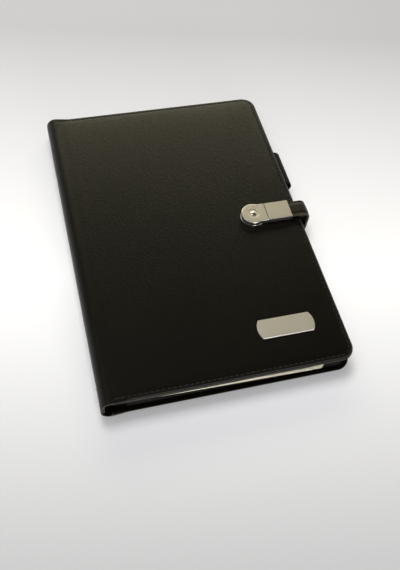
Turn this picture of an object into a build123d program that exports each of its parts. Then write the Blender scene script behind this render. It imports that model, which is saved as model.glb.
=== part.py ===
from build123d import *
import os
from math import degrees

# A leather organizer with a power bank in its front cover, closed and lying on its back cover.
# X runs from the spine to the fore-edge, Y from the bottom edge to the top edge, Z up.
# The origin is on the underside of the back cover, at its centre. Lengths are millimetres.

# Closed organizer
cover_width = 167.0          # outside of the spine to the fore-edge
cover_length = 245.0         # bottom edge to top edge
closed_height = 18.5

# Covers: leather turned up round a stiffener and closed with a lining
cover_thickness = 3.2
leather = 1.0
lining = 0.4
foam = 0.6                   # padding under the front leather
corner_radius = 10.0         # fore-edge corners
padded_edge = 1.6            # rounding of the outer edges
joint_strip = 9.0            # plain leather between the spine and a cover's stiffener

# Spine
spine_radius = 5.0           # outside radius where the leather bends into the covers
spine_board = 1.2
bend_gap = 0.2               # parting between two lengths of leather that bend on each other

# Ring mechanism, standing on the inside of the spine
channel_inset = 6.7          # each end of the channel inside the spine's end
channel_depth = 4.2
channel_width = 8.4
channel_wall = 0.5
blade_thickness = 0.6
blade_width = 3.0
blade_gap = 0.4              # between the two blades, and twice the gap at the ring tips
blade_depth = 2.0            # blade centre from the back of the channel
blade_inset = 2.8            # each end of a blade inside the channel's end
ring_radius = 3.5            # centre line
ring_wire = 1.6
ring_offset = 2.6            # ring centre in front of the channel
ring_lap = 0.4               # how far the straight leg runs into the bent wire
ring_places = (-73.0, -54.0, -35.0, 35.0, 54.0, 73.0)
rivet_inset = 9.1            # from the channel's end
rivet_shank = 2.5
rivet_head = 4.6
rivet_dome = 0.8
blade_hole = 3.75            # clears the rivet as a blade tilts
lever_inset = 1.3            # pivot inside the channel's end
lever_arm = 2.8              # pivot to the inside of the tab
lever_thickness = 0.8
lever_width = 6.6
lever_height = 3.7           # how far the tab stands above the arm's underside
lever_barrel = 2.0
lever_pin = 1.2
pin_clearance = 0.05

# Sheets on the rings: gathered at the rings, pressed flat by the panel, loose beyond it
page_inset = 3.5             # top and bottom edges inside the covers' edges
page_thickness = 2.4
page_hole = 5.6
page_margin = 1.6            # from a hole to the sheet's edge
page_rest = 0.3              # above the lining
page_bend_start = 14.5       # from the spine's outside
page_bend_end = 25.0
page_fore_inset = 17.0       # fore-edge of the sheets inside the covers' fore-edge
page_loose_thickness = 6.4
page_loose_slant = 1.8
page_panel_gap = 0.5

# Panel inside the front cover that holds the power bank
panel_start = 26.5           # from the spine's outside
panel_fore_inset = 27.2      # inside the covers' fore-edge
panel_inset = 4.0            # top and bottom edges inside the covers' edges
panel_skin = 0.9             # between the power bank and the cover
panel_corner = 4.0

# Power bank
bank_width = 72.0
bank_length = 128.0
bank_thickness = 8.0
bank_wall = 1.2
bank_corner = 5.0
bank_top_gap = 3.0           # from the end of the panel
bank_fit = 0.15
cell_side_gap = 2.0          # to the case's side walls
cell_circuit_gap = 9.3
cell_thickness = 5.0
cell_gap = 1.6
cell_inset = 5.0
cell_rounding = 1.25
circuit_thickness = 1.0
circuit_length = 24.0
circuit_fit = 0.5
usb_a_width = 13.2
usb_a_height = 5.4
usb_a_length = 14.0
usb_a_wall = 0.4
usb_c_width = 9.0
usb_c_height = 3.2
usb_c_length = 7.4
usb_c_wall = 0.35
socket_spread = 34.0         # USB-A to USB-C, centre to centre
socket_fit = 0.1
button_diameter = 8.0
button_flange = 10.0
button_flange_thickness = 0.6
button_clearance = 0.1
button_place = 12.0          # in from the power bank's end
light_count = 4
light_diameter = 2.0
light_pitch = 5.0
light_side_gap = 11.0        # last light to the case's side

# Card pockets beside the power bank
card_side_gap = 6.65         # to the side of the panel
card_layers = 3
card_layer = 0.8
card_step = 14.0
card_first = 74.0            # length of the deepest pocket
card_bottom_gap = 6.0

# Pen loop, elastic
loop_bore = 9.4
loop_wall = 1.0
loop_reach = 6.3             # outermost point beyond the fore-edge
loop_length = 31.7
loop_inset = 75.95           # middle of the loop below the covers' top edge
loop_tongue = 15.0

# Closing strap
strap_width = 13.0
strap_outer = 1.0
strap_lining = 0.8
strap_radius = 4.5           # outside radius of its two bends
strap_reach = 6.9            # outside face beyond the fore-edge
strap_tail = 17.5            # length let into the back cover
strap_fit = 0.1

# Clasp: the strap's metal cap, and the memory stick that plugs into it and snaps to the cover
clasp_clearance = 0.1        # snap base to stick
clasp_thickness = 3.6
cap_end = 7.5                # from the fore-edge
cap_length = 17.9
cap_width = 15.2
cap_bevel = 0.35
cap_seam = 0.2
strap_in_cap = 3.5
stick_round = 17.3
stick_reach = 9.6            # seam to the centre of the round end
chip_width = 11.2
chip_thickness = 1.35
chip_out = 12.0
chip_in = 12.0
chip_clearance = 0.15
chip_cover = 0.7             # metal over the chip
magnet_diameter = 12.0
magnet_thickness = 1.3
magnet_fit = 0.05
clasp_rivet_head = 4.6
clasp_rivet_dome = 0.8
clasp_rivet_shank = 2.0
clasp_recess = 7.6
clasp_recess_depth = 0.2

# Snap base under the stick
snap_diameter = 17.6
snap_thickness = 0.8
snap_bevel = 0.27
snap_stem = 3.2
snap_washer = 8.0
snap_washer_thickness = 0.6
snap_washer_clearance = 0.1

# Name plate
plate_length = 34.6
plate_bulge = 2.2
plate_width = 14.1
plate_thickness = 0.7
plate_bevel = 0.3
plate_fore_inset = 39.3      # its centre inside the fore-edge
plate_bottom_inset = 30.9    # its centre above the bottom edge
plate_pin = 1.2
plate_pin_spread = 24.0

# Levels and lines that follow from the sizes above
spine_x = -cover_width / 2
fore_x = cover_width / 2
middle_z = closed_height / 2
front_inner_z = closed_height - cover_thickness
channel_length = cover_length - 2 * channel_inset
blade_length = channel_length - 2 * blade_inset
rivet_place = channel_length / 2 - rivet_inset
lever_place = channel_length / 2 - lever_inset
channel_x = spine_x + leather + spine_board + lining
channel_front_x = channel_x + channel_depth
blade_x = channel_x + blade_depth
ring_x = channel_front_x + ring_offset
ring_leg = (ring_radius ** 2 - ring_offset ** 2) ** 0.5
ring_leg_angle = Vector(ring_offset, ring_leg).get_angle(Vector(1, 0))
page_z = cover_thickness + page_rest
page_hole_x = ring_x + ring_radius
page_start_x = page_hole_x - page_hole / 2 - page_margin
page_length = cover_length - 2 * page_inset
page_end_x = fore_x - page_fore_inset
panel_start_x = spine_x + panel_start
panel_end_x = fore_x - panel_fore_inset
panel_length = cover_length - 2 * panel_inset
page_loose_x = panel_end_x + page_panel_gap
panel_z = front_inner_z - panel_skin - bank_thickness
bank_top_y = panel_length / 2 - bank_top_gap
bank_y = bank_top_y - bank_length / 2
bank_x = (panel_start_x + panel_end_x) / 2
bank_inside_y = bank_top_y - bank_wall
loop_y = cover_length / 2 - loop_inset
plate_place = (fore_x - plate_fore_inset, -cover_length / 2 + plate_bottom_inset)
strap_thickness = strap_outer + strap_lining
strap_x = fore_x + strap_reach
strap_bend_x = strap_x - strap_radius
stick_z = closed_height + snap_thickness + clasp_clearance
clasp_top_z = stick_z + clasp_thickness
strap_top_z = stick_z + (clasp_thickness + strap_thickness) / 2
cap_end_x = fore_x - cap_end
cap_mouth_x = cap_end_x - cap_length
stick_seam_x = cap_mouth_x - cap_seam
round_x = stick_seam_x - stick_reach
chip_top_z = clasp_top_z - chip_cover
bend_trim = degrees(bend_gap / 2 / spine_radius)
strap_trim = degrees(bend_gap / 2 / strap_radius)


def block(x, y, z, mode=Mode.ADD):
    """Box between two corners: x, y and z are (from, to) pairs."""
    with Locations(((x[0] + x[1]) / 2, (y[0] + y[1]) / 2, (z[0] + z[1]) / 2)):
        Box(x[1] - x[0], y[1] - y[0], z[1] - z[0], mode=mode)


def rod(base, direction, diameter, length, mode=Mode.ADD):
    """Round bar that starts at base and runs along direction."""
    with Locations(Plane(origin=base, z_dir=direction)):
        Cylinder(diameter / 2, length, align=(Align.CENTER, Align.CENTER, Align.MIN), mode=mode)


def dome(base, direction, diameter, height):
    """Shallow spherical cap standing on base, as on the head of a rivet."""
    sphere = (diameter ** 2 / 4 + height ** 2) / (2 * height)
    with Locations(Plane(origin=base, z_dir=direction)):
        with Locations((0, 0, height - sphere)):
            Sphere(sphere)
        Cylinder(diameter / 2, height, align=(Align.CENTER, Align.CENTER, Align.MIN),
                 mode=Mode.INTERSECT)


def panel_outline(level, margin):
    """Outline of a cover's stiffened panel, drawn in by margin, at height level."""
    start_x = spine_x + joint_strip
    with BuildSketch(Plane.XY.offset(level)) as outline:
        with Locations(((start_x + fore_x) / 2, 0)):
            Rectangle(fore_x - start_x - 2 * margin, cover_length - 2 * margin)
        fillet(outline.vertices().group_by(Axis.X)[-1], corner_radius - margin)
    return outline.sketch


def bend(center, outer_radius, thickness, start, end):
    """Cross-section of a strip bent round center, from start to end degrees, +X towards +Z."""
    with BuildSketch(Plane.XZ) as section:
        with BuildLine():
            outer = CenterArc(center, outer_radius, start, end - start)
            inner = CenterArc(center, outer_radius - thickness, start, end - start)
            Line(outer @ 0, inner @ 0)
            Line(outer @ 1, inner @ 1)
        make_face()
    return section.sketch


def strip(section, width, y=0.0):
    """Length of bent strip: the section carried along Y, centred on y."""
    extrude(Location((0, y, 0)) * section, amount=width / 2, both=True)


def cover_leather(tray, side):
    """Leather of one cover, side +1 for the front and -1 for the back: a shallow tray turned
    up round the stiffener, and the strip that takes up half of the bend into the spine."""
    outer_z = middle_z + side * middle_z
    extrude(panel_outline(outer_z, 0), amount=-side * cover_thickness)
    outer_face = tray.faces().sort_by(Axis.Z)[-1 if side > 0 else 0]
    fillet(outer_face.edges().sort_by(Axis.X)[1:], padded_edge)
    floor_z = outer_z - side * leather
    extrude(panel_outline(floor_z, leather), amount=-side * cover_thickness,
            mode=Mode.SUBTRACT)
    bend_x = spine_x + spine_radius
    block((bend_x, spine_x + joint_strip + leather),
          (-cover_length / 2, cover_length / 2), sorted((floor_z, outer_z)))
    center = (bend_x, outer_z - side * spine_radius)
    half_bend = (90, 135 - bend_trim) if side > 0 else (225 + bend_trim, 270)
    strip(bend(center, spine_radius, leather, *half_bend), cover_length)


def cover_layer(side, depth, thickness):
    """Flat layer inside a cover's leather tray, depth under its outer face."""
    outer_z = middle_z + side * middle_z
    extrude(panel_outline(outer_z - side * depth, leather), amount=-side * thickness)


# Front cover
with BuildPart() as front_leather:
    cover_leather(front_leather, 1)
    rod((round_x, 0, closed_height - leather), (0, 0, 1), snap_stem, leather, Mode.SUBTRACT)
    for pin_x in (-plate_pin_spread / 2, plate_pin_spread / 2):
        rod((plate_place[0] + pin_x, plate_place[1], closed_height - leather), (0, 0, 1),
            plate_pin, leather, Mode.SUBTRACT)
front_leather.part.label = "front_leather"

with BuildPart() as front_foam:
    cover_layer(1, leather, foam)
    rod((round_x, 0, closed_height - leather - foam), (0, 0, 1), snap_stem, foam, Mode.SUBTRACT)
front_foam.part.label = "front_foam"

front_board_z = front_inner_z + lining
front_board_thickness = cover_thickness - leather - foam - lining
with BuildPart() as front_board:
    cover_layer(1, leather + foam, front_board_thickness)
    rod((round_x, 0, front_board_z), (0, 0, 1), snap_washer + 2 * snap_washer_clearance,
        snap_washer_thickness, Mode.SUBTRACT)
    rod((round_x, 0, front_board_z), (0, 0, 1), snap_stem, front_board_thickness, Mode.SUBTRACT)
front_board.part.label = "front_board"

with BuildPart() as front_lining:
    cover_layer(1, cover_thickness - lining, lining)
front_lining.part.label = "front_lining"

# Steel disc that the stick's magnet holds on to, riveted through the cover
with BuildPart() as snap_base:
    rod((round_x, 0, closed_height), (0, 0, 1), snap_diameter, snap_thickness)
    chamfer(snap_base.edges().group_by(Axis.Z)[-1], snap_bevel)
    rod((round_x, 0, front_board_z), (0, 0, 1), snap_stem, closed_height - front_board_z)
snap_base.part.label = "snap_base"

with BuildPart() as snap_washer_steel:
    rod((round_x, 0, front_board_z), (0, 0, 1), snap_washer, snap_washer_thickness)
    rod((round_x, 0, front_board_z), (0, 0, 1), snap_stem, snap_washer_thickness, Mode.SUBTRACT)
snap_washer_steel.part.label = "snap_washer"

with BuildPart() as name_plate:
    with BuildSketch(Plane((*plate_place, closed_height))):
        with BuildLine():
            half_x = plate_length / 2
            half_y = plate_width / 2
            Line((-half_x, half_y), (half_x, half_y))
            ThreePointArc((half_x, half_y), (half_x + plate_bulge, 0), (half_x, -half_y))
            Line((half_x, -half_y), (-half_x, -half_y))
            ThreePointArc((-half_x, -half_y), (-half_x - plate_bulge, 0), (-half_x, half_y))
        make_face()
    extrude(amount=plate_thickness)
    chamfer(name_plate.edges().group_by(Axis.Z)[-1], plate_bevel)
    for pin_x in (-plate_pin_spread / 2, plate_pin_spread / 2):
        rod((plate_place[0] + pin_x, plate_place[1], closed_height - leather), (0, 0, 1),
            plate_pin, leather)
name_plate.part.label = "name_plate"

# Panel inside the front cover, with the power bank let into its face
panel_x = (panel_start_x, panel_end_x)
bank_x_range = (bank_x - bank_width / 2, bank_x + bank_width / 2)
bank_y_range = (bank_top_y - bank_length, bank_top_y)
bank_roof_z = panel_z + bank_thickness
socket_z = panel_z + bank_thickness / 2
socket_x = (bank_x - socket_spread / 2, bank_x + socket_spread / 2)
card_deep_y = -panel_length / 2 + card_bottom_gap
card_x = (panel_start_x + card_side_gap, panel_end_x - card_side_gap)
card_stack = card_layers * card_layer

with BuildPart() as pocket_panel:
    block(panel_x, (-panel_length / 2, panel_length / 2), (panel_z, front_inner_z))
    fillet(pocket_panel.edges().filter_by(Axis.Z), panel_corner)
    with BuildSketch(Plane.XY.offset(panel_z)):
        with Locations((bank_x, bank_y)):
            RectangleRounded(bank_width + 2 * bank_fit, bank_length + 2 * bank_fit,
                             bank_corner + bank_fit)
    extrude(amount=bank_thickness, mode=Mode.SUBTRACT)
    block((socket_x[0] - usb_a_width, socket_x[1] + usb_a_width), (bank_y, panel_length / 2),
          (panel_z, bank_roof_z), Mode.SUBTRACT)
    block(card_x, (card_deep_y, card_deep_y + card_first), (panel_z, panel_z + card_stack),
          Mode.SUBTRACT)
pocket_panel.part.label = "pocket_panel"

with BuildPart() as card_pockets:
    for layer in range(card_layers):
        layer_z = panel_z + card_stack - (layer + 1) * card_layer
        block(card_x, (card_deep_y, card_deep_y + card_first - layer * card_step),
              (layer_z, layer_z + card_layer))
card_pockets.part.label = "card_pockets"


def bank_outline(level, margin):
    """Outline of the power bank's case, drawn in by margin, at height level."""
    with BuildSketch(Plane.XY.offset(level)) as outline:
        with Locations((bank_x, bank_y)):
            RectangleRounded(bank_width - 2 * margin, bank_length - 2 * margin,
                             bank_corner - margin)
    return outline.sketch


def usb_sockets(margin, from_y, to_y, mode):
    """Both USB openings, larger than the sockets by margin all round."""
    for place, width, height in ((socket_x[0], usb_a_width, usb_a_height),
                                 (socket_x[1], usb_c_width, usb_c_height)):
        block((place - width / 2 - margin, place + width / 2 + margin), (from_y, to_y),
              (socket_z - height / 2 - margin, socket_z + height / 2 + margin), mode)


# Power bank: a tray that faces the cover and a lid that faces the sheets
lid_z = panel_z + bank_wall
button_x = bank_x
button_y = bank_top_y - button_place - circuit_length / 2
light_x = [bank_x_range[1] - light_side_gap - light * light_pitch for light in range(light_count)]
cell_top_y = bank_inside_y - circuit_fit - circuit_length - cell_circuit_gap

with BuildPart() as bank_tray:
    extrude(bank_outline(lid_z, 0), amount=bank_thickness - bank_wall)
    extrude(bank_outline(lid_z, bank_wall), amount=bank_thickness - 2 * bank_wall,
            mode=Mode.SUBTRACT)
    usb_sockets(socket_fit, bank_inside_y, bank_top_y, Mode.SUBTRACT)
bank_tray.part.label = "bank_tray"

with BuildPart() as bank_lid:
    extrude(bank_outline(panel_z, 0), amount=bank_wall)
    rod((button_x, button_y, panel_z), (0, 0, 1), button_diameter + 2 * button_clearance,
        bank_wall, Mode.SUBTRACT)
    for place in light_x:
        rod((place, button_y, panel_z), (0, 0, 1), light_diameter, bank_wall, Mode.SUBTRACT)
bank_lid.part.label = "bank_lid"

with BuildPart() as charge_lights:
    for place in light_x:
        rod((place, button_y, panel_z), (0, 0, 1), light_diameter, bank_wall)
charge_lights.part.label = "charge_lights"

with BuildPart() as power_button:
    rod((button_x, button_y, panel_z), (0, 0, 1), button_diameter, bank_wall + button_clearance)
    rod((button_x, button_y, lid_z + button_clearance), (0, 0, 1), button_flange,
        button_flange_thickness)
power_button.part.label = "power_button"

with BuildPart() as battery_cells:
    for side in (-1, 1):
        cell_x = (bank_x + side * cell_gap / 2,
                  bank_x + side * (bank_width / 2 - bank_wall - cell_side_gap))
        block(sorted(cell_x), (bank_y_range[0] + cell_inset, cell_top_y),
              (bank_roof_z - bank_wall - cell_thickness, bank_roof_z - bank_wall))
    fillet(battery_cells.edges().filter_by(Axis.Y), cell_rounding)
battery_cells.part.label = "battery_cells"

circuit_z = bank_roof_z - bank_wall - circuit_thickness
with BuildPart() as circuit_board:
    block((bank_x_range[0] + bank_wall + circuit_fit, bank_x_range[1] - bank_wall - circuit_fit),
          (bank_inside_y - circuit_fit - circuit_length, bank_inside_y - circuit_fit),
          (circuit_z, circuit_z + circuit_thickness))
    fillet(circuit_board.edges().filter_by(Axis.Z), bank_corner - bank_wall)
    usb_sockets(socket_fit, bank_inside_y - usb_a_length - circuit_fit, bank_top_y,
                Mode.SUBTRACT)
circuit_board.part.label = "circuit_board"


def socket_shell(place, width, height, length, wall):
    """Metal shell of a USB socket, open towards the end of the power bank."""
    block((place - width / 2, place + width / 2), (bank_top_y - length, bank_top_y),
          (socket_z - height / 2, socket_z + height / 2))
    block((place - width / 2 + wall, place + width / 2 - wall),
          (bank_top_y - length + wall, bank_top_y),
          (socket_z - height / 2 + wall, socket_z + height / 2 - wall), Mode.SUBTRACT)


with BuildPart() as usb_a_socket:
    socket_shell(socket_x[0], usb_a_width, usb_a_height, usb_a_length, usb_a_wall)
usb_a_socket.part.label = "usb_a_socket"

with BuildPart() as usb_c_socket:
    socket_shell(socket_x[1], usb_c_width, usb_c_height, usb_c_length, usb_c_wall)
usb_c_socket.part.label = "usb_c_socket"

# Spine: leather that turns a quarter of a circle at each edge, board and lining in its flat
with BuildPart() as spine_leather:
    bend_x = spine_x + spine_radius
    top_bend_z = closed_height - spine_radius
    strip(bend((bend_x, top_bend_z), spine_radius, leather, 135 + bend_trim, 180), cover_length)
    block((spine_x, spine_x + leather), (-cover_length / 2, cover_length / 2),
          (spine_radius, top_bend_z))
    strip(bend((bend_x, spine_radius), spine_radius, leather, 180, 225 - bend_trim), cover_length)
    for end in (-1, 1):
        rod((spine_x, end * rivet_place, middle_z), (1, 0, 0), rivet_shank, leather,
            Mode.SUBTRACT)
spine_leather.part.label = "spine_leather"


def spine_layer(depth, thickness):
    """Flat layer inside the spine, depth from its outside, with the holes for the rivets."""
    block((spine_x + depth, spine_x + depth + thickness),
          (-cover_length / 2 + leather, cover_length / 2 - leather),
          (spine_radius, closed_height - spine_radius))
    for end in (-1, 1):
        rod((spine_x + depth, end * rivet_place, middle_z), (1, 0, 0), rivet_shank, thickness,
            Mode.SUBTRACT)


with BuildPart() as spine_stiffener:
    spine_layer(leather, spine_board)
spine_stiffener.part.label = "spine_board"

with BuildPart() as spine_lining:
    spine_layer(leather + spine_board, lining)
spine_lining.part.label = "spine_lining"

# Channel of the ring mechanism: open towards the spine, notched where the rings come out
with BuildPart() as ring_channel:
    half_channel = channel_width / 2
    channel_y = (-channel_length / 2, channel_length / 2)
    block((channel_x, channel_front_x), channel_y,
          (middle_z - half_channel, middle_z + half_channel))
    fillet(ring_channel.edges().filter_by(Axis.Y).group_by(Axis.X)[-1], channel_wall)
    block((channel_x, channel_front_x - channel_wall), channel_y,
          (middle_z - half_channel + channel_wall, middle_z + half_channel - channel_wall),
          Mode.SUBTRACT)
    notch_z = ring_leg - ring_wire / 2 - channel_wall / 2
    for place in ring_places:
        notch_y = (place - ring_wire / 2 - channel_wall, place + ring_wire / 2 + channel_wall)
        block((channel_x, channel_front_x), notch_y,
              (middle_z + notch_z, middle_z + half_channel), Mode.SUBTRACT)
        block((channel_x, channel_front_x), notch_y,
              (middle_z - half_channel, middle_z - notch_z), Mode.SUBTRACT)
    for end in (-1, 1):
        rod((channel_x, end * rivet_place, middle_z), (1, 0, 0), rivet_shank, channel_depth,
            Mode.SUBTRACT)
        rod((blade_x, end * lever_place, middle_z - half_channel), (0, 0, 1), lever_pin,
            channel_width, Mode.SUBTRACT)
ring_channel.part.label = "ring_channel"

with BuildPart() as spine_rivets:
    for end in (-1, 1):
        rivet_y = end * rivet_place
        rod((spine_x, rivet_y, middle_z), (1, 0, 0), rivet_shank, channel_front_x - spine_x)
with BuildPart() as rivet_head_shape:
    dome((spine_x, 0, middle_z), (-1, 0, 0), rivet_head, rivet_dome)
    dome((channel_front_x, 0, middle_z), (1, 0, 0), rivet_head, rivet_dome)
with spine_rivets:
    for end in (-1, 1):
        add(Location((0, end * rivet_place, 0)) * rivet_head_shape.part)
spine_rivets.part.label = "spine_rivets"

with BuildPart() as lever_pins:
    for end in (-1, 1):
        rod((blade_x, end * lever_place, middle_z - channel_width / 2), (0, 0, 1), lever_pin,
            channel_width)
lever_pins.part.label = "lever_pins"


def ring_blade(side):
    """Blade that carries one half of every ring, on the side +1 or -1 of the channel."""
    inner_z = middle_z + side * blade_gap / 2
    block((blade_x - blade_thickness / 2, blade_x + blade_thickness / 2),
          (-blade_length / 2, blade_length / 2), sorted((inner_z, inner_z + side * blade_width)))
    for end in (-1, 1):
        rod((channel_x, end * rivet_place, middle_z), (1, 0, 0), blade_hole, channel_depth,
            Mode.SUBTRACT)


def ring_wires(side):
    """One half of every ring: a bent wire and its straight leg down to the blade."""
    tip_trim = degrees(blade_gap / 4 / ring_radius)
    for place in ring_places:
        wire_plane = Plane(origin=(ring_x, place, middle_z), x_dir=(1, 0, 0), z_dir=(0, 0, 1))
        with BuildSketch(wire_plane) as wire_section:
            with Locations((ring_radius, 0)):
                Circle(ring_wire / 2)
        axis = Axis((ring_x, place, middle_z), (0, -side, 0))
        revolve(wire_section.sketch.rotate(axis, tip_trim), axis=axis,
                revolution_arc=180 - ring_leg_angle - tip_trim)
        leg_x = blade_x + blade_thickness / 2
        leg_end_x = channel_front_x + ring_lap
        rod((leg_x, place, middle_z + side * ring_leg), (1, 0, 0), ring_wire, leg_end_x - leg_x)


with BuildPart() as ring_blade_upper:
    ring_blade(1)
ring_blade_upper.part.label = "ring_blade_upper"

with BuildPart() as ring_blade_lower:
    ring_blade(-1)
ring_blade_lower.part.label = "ring_blade_lower"

with BuildPart() as ring_wires_upper:
    ring_wires(1)
ring_wires_upper.part.label = "ring_wires_upper"

with BuildPart() as ring_wires_lower:
    ring_wires(-1)
ring_wires_lower.part.label = "ring_wires_lower"


def ring_lever(end):
    """Lever at one end of the rings: a barrel on its pin, an arm and the tab to push."""
    lever_z = (middle_z - lever_width / 2, middle_z + lever_width / 2)
    pivot_y = end * lever_place
    tab_y = pivot_y + end * lever_arm
    arm_x = blade_x - lever_thickness / 2
    rod((blade_x, pivot_y, lever_z[0]), (0, 0, 1), lever_barrel, lever_width)
    block((arm_x, arm_x + lever_thickness), sorted((pivot_y, tab_y)), lever_z)
    block((arm_x, arm_x + lever_height), sorted((tab_y, tab_y + end * lever_thickness)), lever_z)
    rod((blade_x, pivot_y, lever_z[0]), (0, 0, 1), lever_pin + 2 * pin_clearance, lever_width,
        Mode.SUBTRACT)


with BuildPart() as lever_bottom:
    ring_lever(-1)
lever_bottom.part.label = "lever_bottom"

with BuildPart() as lever_top:
    ring_lever(1)
lever_top.part.label = "lever_top"

# Sheets: held at the middle of the rings, bent down to the back cover, loose at the fore-edge
with BuildPart() as page_block:
    ring_page_z = middle_z - page_thickness / 2
    bend_end_x = spine_x + page_bend_end
    bend_start_x = spine_x + page_bend_start
    with BuildSketch(Plane.XZ):
        with BuildLine():
            Polyline((page_start_x, ring_page_z), (bend_start_x, ring_page_z),
                     (bend_end_x, page_z), (page_end_x, page_z),
                     (page_end_x, page_z + page_loose_thickness),
                     (page_loose_x + page_loose_slant, page_z + page_loose_thickness),
                     (page_loose_x, page_z + page_thickness),
                     (bend_end_x, page_z + page_thickness),
                     (bend_start_x, ring_page_z + page_thickness),
                     (page_start_x, ring_page_z + page_thickness), close=True)
        make_face()
    extrude(amount=page_length / 2, both=True)
    for place in ring_places:
        rod((page_hole_x, place, page_z), (0, 0, 1), page_hole, closed_height, Mode.SUBTRACT)
page_block.part.label = "page_block"

# Back cover, with the recess for the strap's tail
tail_x = (fore_x - strap_tail, fore_x)
tail_y = (-strap_width / 2 - strap_fit, strap_width / 2 + strap_fit)
tail_z = (0, strap_thickness + strap_fit)

with BuildPart() as back_leather:
    cover_leather(back_leather, -1)
    block(tail_x, tail_y, tail_z, Mode.SUBTRACT)
back_leather.part.label = "back_leather"

with BuildPart() as back_board:
    cover_layer(-1, leather, cover_thickness - leather - lining)
    block(tail_x, tail_y, tail_z, Mode.SUBTRACT)
back_board.part.label = "back_board"

with BuildPart() as back_lining:
    cover_layer(-1, cover_thickness - lining, lining)
back_lining.part.label = "back_lining"

with BuildPart() as pen_loop:
    loop_radius = loop_bore / 2 + loop_wall
    loop_x = fore_x + loop_reach - loop_radius
    loop_z = cover_thickness + loop_radius
    with BuildSketch(Plane.XZ.offset(-loop_y)):
        with Locations((loop_x, loop_z)):
            Circle(loop_radius)
        with Locations((loop_x - loop_tongue / 2, cover_thickness + loop_wall / 2)):
            Rectangle(loop_tongue, loop_wall)
        with Locations((loop_x, loop_z)):
            Circle(loop_bore / 2, mode=Mode.SUBTRACT)
    extrude(amount=loop_length / 2, both=True)
pen_loop.part.label = "pen_loop"


# Strap: the tail on the back cover, the riser past the fore-edge and the end inside the cap
upper_bend_z = strap_top_z - strap_radius


def strap_run(kind, inset, thickness):
    """One leather of the strap: inset from its outside face, for the tail, riser or cap end."""
    radius = strap_radius - inset
    lower_center = (strap_bend_x, strap_radius)
    upper_center = (strap_bend_x, upper_bend_z)
    if kind == "tail":
        strip(bend(lower_center, radius, thickness, 270, 315 - strap_trim), strap_width)
        block((fore_x - strap_tail + strap_fit, strap_bend_x), (-strap_width / 2, strap_width / 2),
              (inset, inset + thickness))
    elif kind == "riser":
        strip(bend(lower_center, radius, thickness, 315 + strap_trim, 360), strap_width)
        block((strap_x - inset - thickness, strap_x - inset), (-strap_width / 2, strap_width / 2),
              (strap_radius, upper_bend_z))
        strip(bend(upper_center, radius, thickness, 0, 45 - strap_trim), strap_width)
    else:
        strip(bend(upper_center, radius, thickness, 45 + strap_trim, 90), strap_width)
        block((cap_end_x - strap_in_cap, strap_bend_x), (-strap_width / 2, strap_width / 2),
              (strap_top_z - inset - thickness, strap_top_z - inset))


with BuildPart() as strap_tail_leather:
    strap_run("tail", 0, strap_thickness)
strap_tail_leather.part.label = "strap_tail"

with BuildPart() as strap_leather:
    strap_run("riser", 0, strap_outer)
strap_leather.part.label = "strap_leather"

with BuildPart() as strap_backing:
    strap_run("riser", strap_outer, strap_lining)
strap_backing.part.label = "strap_lining"

with BuildPart() as clasp_leather:
    strap_run("end", 0, strap_outer)
clasp_leather.part.label = "clasp_leather"

with BuildPart() as clasp_lining:
    strap_run("end", strap_outer, strap_lining)
clasp_lining.part.label = "clasp_lining"

# Cap on the end of the strap: a bevelled metal sleeve, one side for the strap, one for the chip
with BuildPart() as clasp_cap:
    block((cap_mouth_x, cap_end_x), (-cap_width / 2, cap_width / 2), (stick_z, clasp_top_z))
    chamfer(clasp_cap.edges(), cap_bevel)
    block((cap_end_x - strap_in_cap - strap_fit, cap_end_x),
          (-strap_width / 2 - strap_fit, strap_width / 2 + strap_fit),
          (strap_top_z - strap_thickness - strap_fit, strap_top_z + strap_fit), Mode.SUBTRACT)
    block((cap_mouth_x, cap_mouth_x + chip_out + chip_clearance),
          (-chip_width / 2 - chip_clearance, chip_width / 2 + chip_clearance),
          (chip_top_z - chip_thickness - chip_clearance, chip_top_z + chip_clearance),
          Mode.SUBTRACT)
clasp_cap.part.label = "clasp_cap"

# Memory stick: round-ended metal body, chip that plugs into the cap, magnet and rivet
chip_x = (stick_seam_x - chip_in, stick_seam_x + chip_out)
with BuildPart() as stick_body:
    with BuildSketch(Plane.XY.offset(stick_z)):
        with Locations((round_x, 0)):
            Circle(stick_round / 2)
        with Locations(((round_x + stick_seam_x) / 2, 0)):
            Rectangle(stick_seam_x - round_x, cap_width)
    extrude(amount=clasp_thickness)
    chamfer(stick_body.edges().group_by(Axis.Z)[-1], cap_bevel)
    rod((round_x, 0, clasp_top_z - clasp_recess_depth), (0, 0, 1), clasp_recess,
        clasp_recess_depth, Mode.SUBTRACT)
    rod((round_x, 0, chip_top_z), (0, 0, 1), clasp_rivet_shank, chip_cover, Mode.SUBTRACT)
    block((chip_x[0], stick_seam_x), (-chip_width / 2, chip_width / 2),
          (chip_top_z - chip_thickness, chip_top_z), Mode.SUBTRACT)
    rod((round_x, 0, stick_z), (0, 0, 1), magnet_diameter + 2 * magnet_fit,
        magnet_thickness + magnet_fit, Mode.SUBTRACT)
stick_body.part.label = "stick_body"

with BuildPart() as stick_chip:
    block(chip_x, (-chip_width / 2, chip_width / 2), (chip_top_z - chip_thickness, chip_top_z))
stick_chip.part.label = "stick_chip"

with BuildPart() as stick_magnet:
    rod((round_x, 0, stick_z), (0, 0, 1), magnet_diameter, magnet_thickness)
stick_magnet.part.label = "stick_magnet"

with BuildPart() as stick_rivet:
    dome((round_x, 0, clasp_top_z - clasp_recess_depth), (0, 0, 1), clasp_rivet_head,
         clasp_rivet_dome)
    rod((round_x, 0, chip_top_z), (0, 0, 1), clasp_rivet_shank, chip_cover - clasp_recess_depth)
stick_rivet.part.label = "stick_rivet"

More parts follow.
